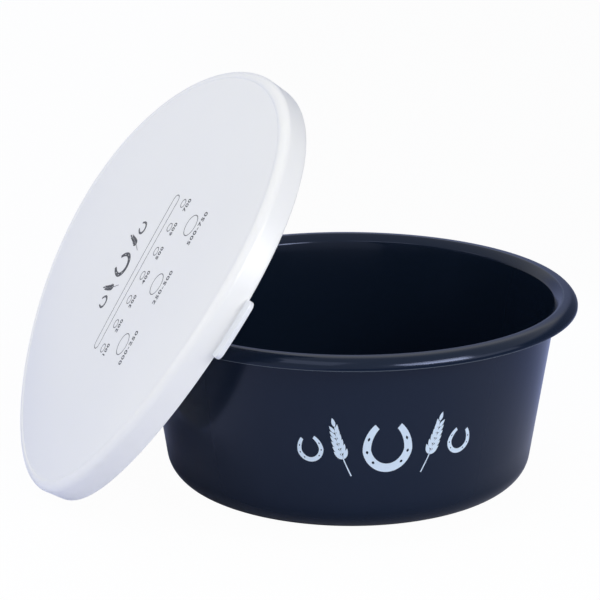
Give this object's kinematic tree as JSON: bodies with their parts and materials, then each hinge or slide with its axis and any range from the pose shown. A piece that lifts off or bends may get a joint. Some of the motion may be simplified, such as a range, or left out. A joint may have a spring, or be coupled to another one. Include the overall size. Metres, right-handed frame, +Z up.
{
  "type": "horse feed bowl with lid",
  "caption": "Round moulded feed bowl with a rolled rim and tapering wall, and a soft push-on lid with a lift tab leaned against it",
  "frame": {"origin": "centre of the bowl's foot, on the floor plane", "axes": "+Z up along the bowl's axis; -Y is the side seen in the picture, with its printed panel; the lid leans on the -X side, and X is the row's longest extent"},
  "size_m": [0.3983, 0.3424, 0.2805],
  "materials": {
    "bowl_plastic": "gloss",
    "lid_plastic": "satin"
  },
  "bodies": {
    "bowl_body": {"bowl": "bowl_plastic"},
    "lid_body": {"lid": "lid_plastic"}
  },
  "joints": [
    {"name": "lid_lift", "type": "slide", "parent": "bowl_body", "child": "lid_body", "axis": [0, 0, 1], "range_m": [0, 0.2]}
  ]
}
